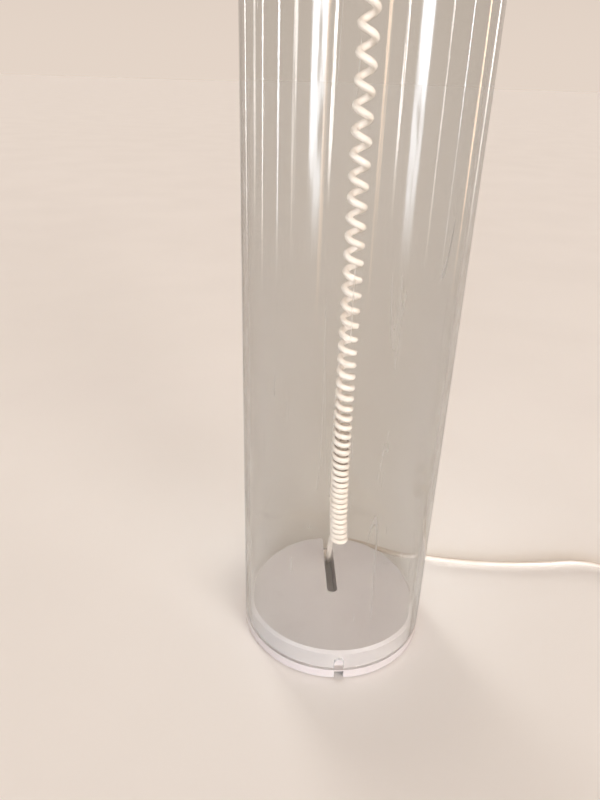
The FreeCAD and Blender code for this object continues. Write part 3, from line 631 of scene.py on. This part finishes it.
def curl_place(turn):
    """The curly cord's line: closed turns, turns that open steadily, and a last one to the axis."""
    lean, lean_fade = 0.004, 0.04
    turns = CLOSED_TURNS + OPEN_TURNS
    head = GRIP_FOOT - CORD_D - CURL_RISE
    growth = 2 * (head - CURL_FOOT - CURL_PITCH * turns) / OPEN_TURNS**2
    turn_length = math.hypot(2 * math.pi * CURL_R, CURL_PITCH)
    open_turn = min(max(turn - CLOSED_TURNS, 0.0), OPEN_TURNS)
    lead = max(turn - turns, 0.0)
    pitch = CURL_PITCH + growth * open_turn
    radius = math.sqrt(turn_length**2 - pitch**2) / (2 * math.pi) * (1 - smooth(lead))
    z = CURL_FOOT + CURL_PITCH * min(turn, turns) + growth * open_turn**2 / 2
    z += pitch * lead + (CURL_RISE - pitch) * lead**2
    shift = lean * math.exp((CURL_FOOT - z) / lean_fade) * (1 - smooth(lead))
    angle = math.radians(90 - 360 * turn)
    reach = radius * TURN_SWELL
    return Vector((shift + reach * math.cos(angle), reach * math.sin(angle), z))


def make_curly_cord():
    points = [Vector(CORD_JOIN), Vector((-0.003552, 0.011552, 0.097269))]
    points.append(Vector((-0.003899, CURL_R, 0.103732)))
    steps = (CLOSED_TURNS + OPEN_TURNS + 1) * TURN_POINTS
    points += [curl_place(step / TURN_POINTS) for step in range(1, steps)]
    points += [Vector((0, 0, GRIP_FOOT - CORD_D)), Vector((0, 0, GRIP_FOOT))]
    line = line_of(points, 3)
    mesh = tube_mesh(line, CORD_D / 2)
    obj = piece("curly_cord", mesh, cream, "stand", "cream_cord", "coiled_cord", sharp=60)
    obj.parent = None
    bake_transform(obj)


# The in-line switch: its line, its two ends, and the height of its middle
SWITCH_X, SWITCH_LOW, SWITCH_HIGH, SWITCH_MID = 0.384, -0.030, 0.024, 0.008
# Height of a cord's middle where it lies on the floor
FLOOR_Z = 0.0032
SUPPLY_ROUTE = [
    CORD_JOIN,
    (0.000111, 0.061186, 0.029057),
    (0.0015, 0.080, FLOOR_Z),
    (0.0008, 0.112, FLOOR_Z),
    (0.0283, 0.132, FLOOR_Z),
    (0.0617, 0.1185, FLOOR_Z),
    (0.098, 0.100, FLOOR_Z),
    (0.1385, 0.0865, FLOOR_Z),
    (0.192, 0.0775, FLOOR_Z),
    (0.247, 0.074, FLOOR_Z),
    (0.298, 0.076, FLOOR_Z),
    (0.334, 0.0795, FLOOR_Z),
    (0.368, 0.070, FLOOR_Z),
    (SWITCH_X, 0.044, SWITCH_MID),
    (SWITCH_X, SWITCH_HIGH, SWITCH_MID),
]
# The put-away coil: its turns' distance, its radius, and its turns inward and outward
COIL_STEP, COIL_R, COIL_IN, COIL_OUT = 0.0068, 0.04135, 2.75, 2.8333333
COIL_CENTRE = Vector((SWITCH_X + COIL_R, -0.0613, 0.00445))


def coil_place(turn, swell=1.0):
    """The put-away coil's line: a spiral in along the floor, a climb, and a spiral out on top."""
    inward, outward = min(turn, COIL_IN), max(turn - COIL_IN, 0.0)
    radius = (COIL_R - COIL_STEP * (inward - outward)) * swell
    angle = math.radians(180 + 360 * turn)
    climb = COIL_STEP * smooth((turn - COIL_IN) * 2 + 0.5)
    return COIL_CENTRE + Vector((radius * math.cos(angle), radius * math.sin(angle), climb))


def coil_end():
    """Where the coil's straight end meets the plug, and its heading."""
    turns, nudge, straight = COIL_IN + COIL_OUT, 1e-4, 0.010
    heading = coil_place(turns + nudge) - coil_place(turns - nudge)
    heading.z = 0
    heading.normalize()
    return coil_place(turns) + heading * straight, heading


def laid_cord(name, route, node):
    """A round cord along a route, on the stand, in place of that CAD node."""
    cord = spline(name, route, CORD_D)
    cord.data.materials.append(cream)
    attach(cord, "stand")
    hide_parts(node)
    return cord


def make_supply_cord(switch_pieces, plug_pieces):
    cord = laid_cord("supply_cord_line", SUPPLY_ROUTE, "supply_cord")
    end, heading = coil_end()
    start = Vector((SWITCH_X, SWITCH_LOW, SWITCH_MID))
    points = [start, start + Vector((0, -CORD_D, 0)), Vector((SWITCH_X, -0.0488, 0.0062))]
    steps = int((COIL_IN + COIL_OUT) * TURN_POINTS)
    points += [coil_place(step / TURN_POINTS, TURN_SWELL) for step in range(steps + 1)]
    points += [end - heading * 0.008, end]
    coil = laid_cord("put_away_coil", points, "supply_cord_coil")


# Base, tube and top


def make_base():
    corner, rim, chamfer, roof = 0.002, 0.125, 0.003, 0.0015
    below, above = -0.01, 0.05
    wide = SLOT_HALF + corner
    mouth = math.sqrt(PLUG_R**2 - wide**2) - corner
    slot = [(SLOT_HALF, 0), (SLOT_HALF, rim), (-SLOT_HALF, rim)]
    slot += arc(0, 0, SLOT_HALF, 180, 360, 24)[:-1]
    flare = arc(-wide, mouth, corner, 90, 0) + arc(wide, mouth, corner, 180, 90)
    flare += [(wide, rim), (-wide, rim)]
    channel = [(-CHANNEL_HALF, -rim), (CHANNEL_HALF, -rim), (CHANNEL_HALF, 0), (-CHANNEL_HALF, 0)]
    profile = [
        (0, FELT_TOP, 0),
        (TUBE_R, FELT_TOP, 0.0008),
        (TUBE_R, SEAT, 0.0003),
        (PLUG_R, SEAT, 0.0003),
        (PLUG_R, BASE_TOP - chamfer, 0.0003),
        (PLUG_R - chamfer, BASE_TOP, 0.0003),
        (0, BASE_TOP, 0),
    ]
    cuts = [prism(slot, below, above), prism(flare, SEAT, above)]
    cuts.append(prism(channel, below, SEAT - roof))
    disc = carved(lathe(soften(profile, closed=False), 256, closed=False), cuts, 0.0006)
    piece("base_plate", disc, white_paint, "stand", "white_paint", "base_disc")
    profile = [(0, 0, 0), (FELT_R, 0, 0.0003), (FELT_R, FELT_TOP, 0.0003), (0, FELT_TOP, 0)]
    cuts = [prism(slot, below, above), prism(channel, below, above)]
    pad = carved(lathe(soften(profile, 2, False), 192, False), cuts)
    piece("base_felt", pad, felt, "stand", "grey_felt", "base_felt_pad")


def make_tube():
    notch_height, sink, split = 0.0148, 0.00005, 0.05
    front, back = -0.12, -0.08
    arch = SEAT + notch_height - CHANNEL_HALF
    notch = [(CHANNEL_HALF, 0), *arc(0, arch, CHANNEL_HALF, 0, 180, 24), (-CHANNEL_HALF, 0)]
    profile = [
        (BORE_R, SEAT - sink, 0.0002),
        (TUBE_R, SEAT - sink, 0.0002),
        (TUBE_R, split, 0),
        (TUBE_R, TUBE_TOP, 0.0006),
        (BORE_R, TUBE_TOP, 0.0006),
        (BORE_R, split, 0),
    ]
    wall = carved(lathe(soften(profile, 3), 320), [prism(notch, front, back, "y")], 0.0004)
    piece("clear_tube", wall, acrylic, "stand", "clear_acrylic", "acrylic_tube")


def make_top():
    recess = 0.032
    profile = [
        (HOLDER_HOLE, LAMP_TOP, 0.0006),
        (TUBE_R, LAMP_TOP, 0.003),
        (TUBE_R, TUBE_TOP, 0.0006),
        (PLUG_R, TUBE_TOP, 0.0003),
        (PLUG_R, TOP_PLUG, 0.003),
        (recess, TOP_PLUG, 0.0008),
        (recess, COLLAR, 0.0008),
        (HOLDER_HOLE, COLLAR, 0.0004),
    ]
    plate = lathe(soften(profile), 256)
    piece("top_plate", plate, top_paint, "top", "white_plastic", "top_disc")


# Lampholder and bulb


def holder_piece(name, mesh, node):
    """A plastic piece of the lampholder, in place of that CAD node."""
    piece(name, mesh, holder_plastic, "top", "holder_plastic", node)


def make_holder():
    bore, outer, body, flange = 0.017, 0.0198, 0.022, 0.024
    flange_foot, thread_top = COLLAR - 0.004, SKIRT_TOP - 0.0004
    profile = [(bore, SKIRT_FOOT, 0.0004), (body, SKIRT_FOOT, 0.0006), (body, flange_foot, 0.0005)]
    profile += [(flange, flange_foot, 0.0008), (flange, COLLAR, 0.0004)]
    profile += column(outer, COLLAR, thread_top, 90)
    profile += [(outer - 0.0005, SKIRT_TOP, 0), (bore, SKIRT_TOP, 0.0005)]
    wave = thread_wave(outer, COLLAR, thread_top, 0.0025, 0.0007)
    holder_piece("lampholder_skirt", lathe(soften(profile, 3), wave=wave), "holder_skirt")
    rim, nut_top = 0.028, LAMP_TOP + 0.006
    nut = [(HOLDER_HOLE, LAMP_TOP, 0.0005), (rim, LAMP_TOP, 0.0006)]
    nut += [(rim, nut_top, 0.0012), (HOLDER_HOLE, nut_top, 0.0008)]
    wave = grip_wave(rim, 18, 0.0018)
    holder_piece("ring_nut", lathe(soften(nut, 4), 432, wave=wave), "holder_ring_nut")
    inside, throat, neck = 0.014, 0.0062, 0.009
    cap = [
        (inside, SKIRT_FOOT, 0.0003),
        (body, SKIRT_FOOT, 0.0004),
        (body, SKIRT_FOOT - 0.008, 0.004),
        (neck, SKIRT_FOOT - 0.024, 0.003),
        (neck, CAP_FOOT, 0.0005),
        (throat, CAP_FOOT, 0.0003),
        (throat, GRIP_TOP, 0.0003),
        (inside, SKIRT_FOOT - 0.0108, 0.001),
    ]
    holder_piece("lampholder_cap", lathe(soften(cap)), "holder_cap")
    stem = 0.0059
    grip = [
        (0, GRIP_FOOT, 0),
        (neck, GRIP_FOOT, 0.001),
        (neck, CAP_FOOT, 0.0004),
        (stem, CAP_FOOT, 0.0003),
        (stem, GRIP_TOP, 0.0005),
        (0, GRIP_TOP, 0),
    ]
    wave = grip_wave(neck, 14, 0.0007)
    holder_piece("cord_bush", lathe(soften(grip, 3, False), 196, False, wave), "cord_grip")
    close, apart, lead_r = 0.0018, 0.009, 0.0012
    route = [(close, 0.0), (close, 0.006), (apart, 0.012), (apart, 0.018)]
    leads = []
    for side in (-1, 1):
        line = line_of([Vector((side * x, 0, GRIP_TOP + z)) for x, z in route], 12)
        leads.append(tube_mesh(line, lead_r, 12))
    piece("lead_wires", merged(*leads), cream, "top", "cream_cord", "holder_leads", sharp=60)


def make_bulb():
    glass, neck, shoulder, steps = 0.0008, 0.0175, 0.0225, 72
    low, crown = math.asin(neck / GLOBE_R), GLOBE_MID + GLOBE_R
    swing = [low + (math.pi - low) * step / steps for step in range(1, steps)]
    outside = [(0.0131, NECK), (0.0140, NECK + 0.0045), (0.0158, NECK + 0.0105)]
    outside += [(0.0172, NECK + 0.0170), (0.0182, NECK + 0.0215), (0.0200, NECK + 0.0250)]
    ball = [(GLOBE_R * math.sin(a), GLOBE_MID - GLOBE_R * math.cos(a)) for a in swing]
    outside += [point for point in ball if point[0] > shoulder or point[1] > GLOBE_MID]
    inside = [(radius - glass, height) for radius, height in outside]
    globe = lathe(outside + [(0, crown), (0, crown - glass)] + inside[::-1], 128)
    piece("opal_globe", globe, opal, "bulb", "opal_glass", "bulb_globe")
    cap_r, wall, thread_foot, thread_top = 0.0131, 0.0123, BULB_CAP + 0.002, NECK - 0.002
    floor = BULB_CAP + 0.0025
    profile = [(0, BULB_CAP, 0), (0.0111, BULB_CAP, 0.0003)]
    profile += column(cap_r, thread_foot, thread_top, 96)
    profile += [(cap_r, NECK, 0.0003), (wall, NECK, 0), (wall, floor, 0), (0, floor, 0)]
    wave = thread_wave(cap_r, thread_foot, thread_top, 0.00363, 0.0007)
    cap = lathe(soften(profile, 2, False), 128, False, wave)
    piece("screw_cap", cap, aluminium, "bulb", "bulb_aluminium", "bulb_cap")


# Switch, plug and tie on the supply cord


def make_switch():
    half, tall, wall, mid_y = 0.012, 0.016, 0.002, -0.003
    low = Vector((SWITCH_X - half, SWITCH_LOW, 0))
    high = Vector((SWITCH_X + half, SWITCH_HIGH, tall))
    thick, margin = Vector((wall, wall, wall)), Vector((0.01, 0.01, 0))
    inside = brick(low + thick, high - thick)
    window_half = 0.0098
    window = brick(
        (SWITCH_X, mid_y - window_half, 0.005), (SWITCH_X + 0.02, mid_y + window_half, 0.011)
    )
    screw = Vector((SWITCH_X, mid_y + 0.014, 0))
    hole = lathe([(0, 0.0139), (0.0029, 0.0139), (0.0029, 0.02), (0, 0.02)], 48, False)
    hole.transform(Matrix.Translation(screw))
    halves = {
        "switch_lower": ("switch_base", -0.01, 0.00795, []),
        "switch_upper": ("switch_cover", 0.00805, 0.03, [hole]),
    }
    made = []
    for name, (node, foot, head, more) in halves.items():
        keep = brick(
            low - margin + Vector((0, 0, foot)), Vector((high.x, high.y, head)) + margin
        )
        shell = carved(brick(low, high, 0.0035, 5), [keep], operation="INTERSECT")
        shell = carved(shell, [inside.copy(), window.copy(), *more], 0.0003)
        made.append(piece(name, shell, holder_plastic, "stand", "holder_plastic", node))
    bore, rim, foot, head = 0.00156, 0.0095, 0.0053, 0.0107
    profile = [(bore, foot, 0.0003), (rim, foot, 0.0006), (rim, head, 0.0006), (bore, head, 0.0003)]
    disc = lathe(soften(profile, 3), 288, wave=grip_wave(rim, 24, 0.0006))
    disc.transform(Matrix.Translation((0.388, mid_y, 0)))
    made.append(
        piece("thumb_disc", disc, wheel_plastic, "thumb_wheel", "holder_plastic", "switch_wheel")
    )
    under, head_r, shank_r = 0.014, 0.0028, 0.0015
    profile = [(0, under, 0), (head_r, under, 0.0002), (head_r, 0.0158, 0.0006), (0, tall, 0)]
    slot = brick((-0.004, -0.0004, 0.0152), (0.004, 0.0004, 0.02))
    top = carved(lathe(soften(profile, 3, False), 64, False), [slot])
    shank = lathe([(0, 0.004), (shank_r, 0.004), (shank_r, under), (0, under)], 32, False)
    fixing = merged(top, shank)
    fixing.transform(Matrix.Translation(screw))
    made.append(piece("case_screw", fixing, steel, "stand", "steel", "switch_screw"))
    return made


def make_plug():
    end, heading = coil_end()
    up = Vector((0, 0, 1))
    axes = Matrix((up.cross(heading), up, heading)).transposed()
    place = Matrix.Translation(end) @ axes.to_4x4()
    half, relief, length, groove = end.z, 0.022, 0.046, 0.0007
    profile = [(0, 0, 0), (0.0040, 0, 0.0004)]
    for rib in range(5):
        foot = 0.0025 + 0.0038 * rib
        reach = 0.0041 + 0.00022 * rib
        profile += [(reach, foot, 0.0003), (reach - groove, foot + 0.0006, 0.0002)]
        profile += [(reach - groove, foot + 0.0014, 0.0002), (reach + 0.0001, foot + 0.002, 0.0003)]
    profile += [(0.005, relief, 0.0003), (half - 0.002, relief, 0.0012)]
    profile += [(half, relief + 0.004, 0.002), (half - 0.0007, relief + 0.012, 0.004)]
    profile += [(half, length - 0.003, 0.001), (half - 0.0006, length, 0.0004), (0, length, 0)]
    body = lathe(soften(profile, 3, False), 96, False)
    apart, thick, wide = 0.00635, 0.00075, 0.003175
    root, tip, eye_place, eye_r = length - 0.006, length + 0.0175, length + 0.0135, 0.0016
    cuts, blades = [], []
    for side in (-1, 1):
        middle = side * apart
        low, high = (middle - thick, -wide, root), (middle + thick, wide, tip)
        cuts.append(brick(low, (middle + thick, wide, length + 0.01)))
        hole = prism(arc(0, eye_place, eye_r, 0, 360, 24)[:-1], -0.001, 0.001)
        hole.transform(Matrix(((0, 0, 1, middle), (1, 0, 0, 0), (0, 1, 0, 0), (0, 0, 0, 1))))
        blades.append(carved(brick(low, high, 0.0004, 2), [hole]))
    shell = carved(body, cuts)
    shell.transform(place)
    pair = merged(*blades)
    pair.transform(place)
    return [
        piece("mains_plug", shell, holder_plastic, "stand", "holder_plastic", "plug_body"),
        piece("plug_pins", pair, brass, "stand", "brass", "plug_blades"),
    ]


def make_tie():
    """A strap round the coil's three turns, at the front of the coil."""
    middle = coil_place(1.25)
    thick, width, height, room = 0.001, 0.008, 0.0157, 0.0009
    inner = COIL_STEP + CORD_D / 2 + room
    outer = inner + thick
    outline = [(-outer, 0, 0.002), (outer, 0, 0.002)]
    outline += [(outer, height, 0.004), (-outer, height, 0.004)]
    opening = [(-inner, thick, 0.001), (inner, thick, 0.001)]
    opening += [(inner, height - thick, 0.003), (-inner, height - thick, 0.003)]
    band = prism(soften(outline, 5), -width / 2, width / 2)
    strap = carved(band, [prism(soften(opening, 5), -width, width)], 0.0002)
    turn = Matrix(((0, 0, 1, COIL_CENTRE.x), (1, 0, 0, middle.y), (0, 1, 0, 0), (0, 0, 0, 1)))
    strap.transform(turn)
    return [piece("coil_strap", strap, tie_plastic, "stand", "white_tie", "cord_tie")]


# Inner pieces keep their CAD shape and get their own materials
INNER_LOOKS = {
    "holder_core": porcelain,
    "holder_screw_shell": brass,
    "holder_contact": brass,
    "holder_terminal_screws": brass,
    "bulb_tip_contact": steel,
    "bulb_cap_insulator": black_glass,
    "bulb_stem": stem_glass,
    "bulb_wires": steel,
    "bulb_filament": steel,
    "switch_axle": steel,
    "switch_contacts": brass,
}


def dress_inner_pieces():
    for node, look in INNER_LOOKS.items():
        mesh = bpy.data.objects[node].data
        mesh.materials.clear()
        mesh.materials.append(look)


# Studio


def add_light(data, place, target, power, colour):
    """Places a light so that it faces a point."""
    data.energy, data.color = power, colour
    light = added(data.name, data)
    light.location = place
    light.rotation_mode = "QUATERNION"
    light.rotation_quaternion = (Vector(target) - Vector(place)).to_track_quat("-Z", "Y")
    light.visible_camera = False
    return light


def fade_edges(data, soft, drift):
    """Dims a strip towards its edges, furthest at its foot, and unevenly along its height."""
    data.use_nodes = True
    nodes = Nodes(data.node_tree)
    place = nodes.node("ShaderNodeNewGeometry").outputs["Parametric"]
    side, height, _ = nodes.split(place)
    uneven = nodes.mapped_noise(place, 1.0, 2.0, 0.0, (2.2, 3.5, 1), (drift, 0.4 * drift, 0))
    strength = nodes.times(nodes.span(side, 0.0, soft), nodes.span(side, 1.0, 1 - soft))
    strength = nodes.times(strength, nodes.span(height, 0.0, 2 * soft))
    strength = nodes.times(strength, nodes.span(height, 1.0, 1 - soft / 2))
    strength = nodes.times(strength, nodes.span(uneven, 0.25, 0.62))
    nodes.link(strength, nodes.tree.nodes["Emission"].inputs["Strength"])


STRIP_HEIGHT, STRIP_MIDDLE, STRIP_GAIN = 1.2, 0.62, 1.7


def strip_light(name, azimuth, distance, width, radiance, colour):
    """An upright strip, seen only in reflections, at degrees to the right of the lamp's front."""
    angle = math.radians(azimuth)
    place = (distance * math.sin(angle), -distance * math.cos(angle), STRIP_MIDDLE)
    data = bpy.data.lights.new(name, "AREA")
    data.shape, data.size, data.size_y = "RECTANGLE", width, STRIP_HEIGHT
    fade_edges(data, 0.3, azimuth)
    power = STRIP_GAIN * radiance * width * STRIP_HEIGHT * math.pi
    light = add_light(data, place, (0, 0, STRIP_MIDDLE), power, colour)
    light.visible_diffuse = light.visible_transmission = False


# Name, spread in degrees, where it shines from, power and colour
SUNS = [
    ("key", 28, (1.25, -1.9, 0.94), 1.75, (1.0, 0.93, 0.86)),
    ("fill", 24, (-0.45, -2.8, 0.40), 2.7, (0.80, 0.92, 1.10)),
    ("back", 20, (-1.0, 2.2, 0.40), 2.7, (1.0, 0.96, 0.91)),
]
COOL, PLAIN, PEACH = (0.88, 0.94, 1.0), (1.0, 0.98, 0.95), (1.0, 0.74, 0.52)
# Name, azimuth in degrees, distance, width, radiance and colour
STRIPS = [
    ("strip_1", -33, 2.4, 0.16, 26, PLAIN),
    ("strip_2", -46, 1.6, 0.44, 20, COOL),
    ("strip_3", -67, 1.4, 0.14, 8, PLAIN),
    ("strip_4", -84, 1.2, 0.05, 17, COOL),
    ("strip_5", -104, 1.1, 0.04, 13, PLAIN),
    ("strip_6", -136, 1.2, 0.05, 7, PLAIN),
    ("strip_7", -38, 0.9, 0.07, 7, PEACH),
    ("strip_8", 9, 1.0, 0.08, 7, PEACH),
    ("strip_9", 24, 2.2, 0.12, 18, PLAIN),
    ("strip_10", 40, 1.5, 0.36, 18, COOL),
    ("strip_11", 62, 1.4, 0.05, 11, PLAIN),
    ("strip_12", 84, 1.3, 0.03, 14, COOL),
    ("strip_13", 106, 1.2, 0.10, 6, PEACH),
    ("strip_14", 128, 1.7, 0.14, 4, PLAIN),
    ("strip_15", -118, 1.6, 0.14, 4, PLAIN),
]


def make_world():
    """A soft sky: the floor's own tone at the horizon, darker and browner overhead."""
    world = bpy.data.worlds.new("studio")
    world.use_nodes = True
    nodes = Nodes(world.node_tree)
    height = nodes.split(nodes.node("ShaderNodeTexCoord").outputs["Generated"])["Z"]
    horizon, zenith = (1.18, 1.005, 0.872), (0.53, 0.385, 0.28)
    sky = nodes.blend(nodes.span(height, 0.0, 0.7), horizon, zenith)
    background = nodes.tree.nodes["Background"]
    nodes.link(sky, background.inputs["Color"])
    background.inputs["Strength"].default_value = 0.66
    bpy.context.scene.world = world


def make_studio():
    far = 90
    plan = [(-far, -far), (far, -far), (far, far), (-far, far)]
    floor = added("floor", prism(plan, -0.02, 0.0))
    look = Look("pale_floor", specular_ior_level=0.0)
    clouds = look.vary(look.noise(3, 4))
    look.colour(look.blend(clouds, (0.93, 0.905, 0.875), (0.91, 0.885, 0.855)))
    look.roughness(look.vary(look.noise(40, 4), 0.55, 0.7))
    floor.data.materials.append(look.material)
    make_world()
    for name, spread, place, power, colour in SUNS:
        data = bpy.data.lights.new(name, "SUN")
        data.angle = math.radians(spread)
        light = add_light(data, place, (0, 0, 0), power, colour)
        light.visible_glossy = light.visible_transmission = name == "key"
    for strip in STRIPS:
        strip_light(*strip)
    bpy.context.scene.view_settings.view_transform = "Standard"


make_base()
make_tube()
make_top()
make_holder()
make_bulb()
make_curly_cord()
make_supply_cord(make_switch(), make_plug() + make_tie())
dress_inner_pieces()
make_studio()
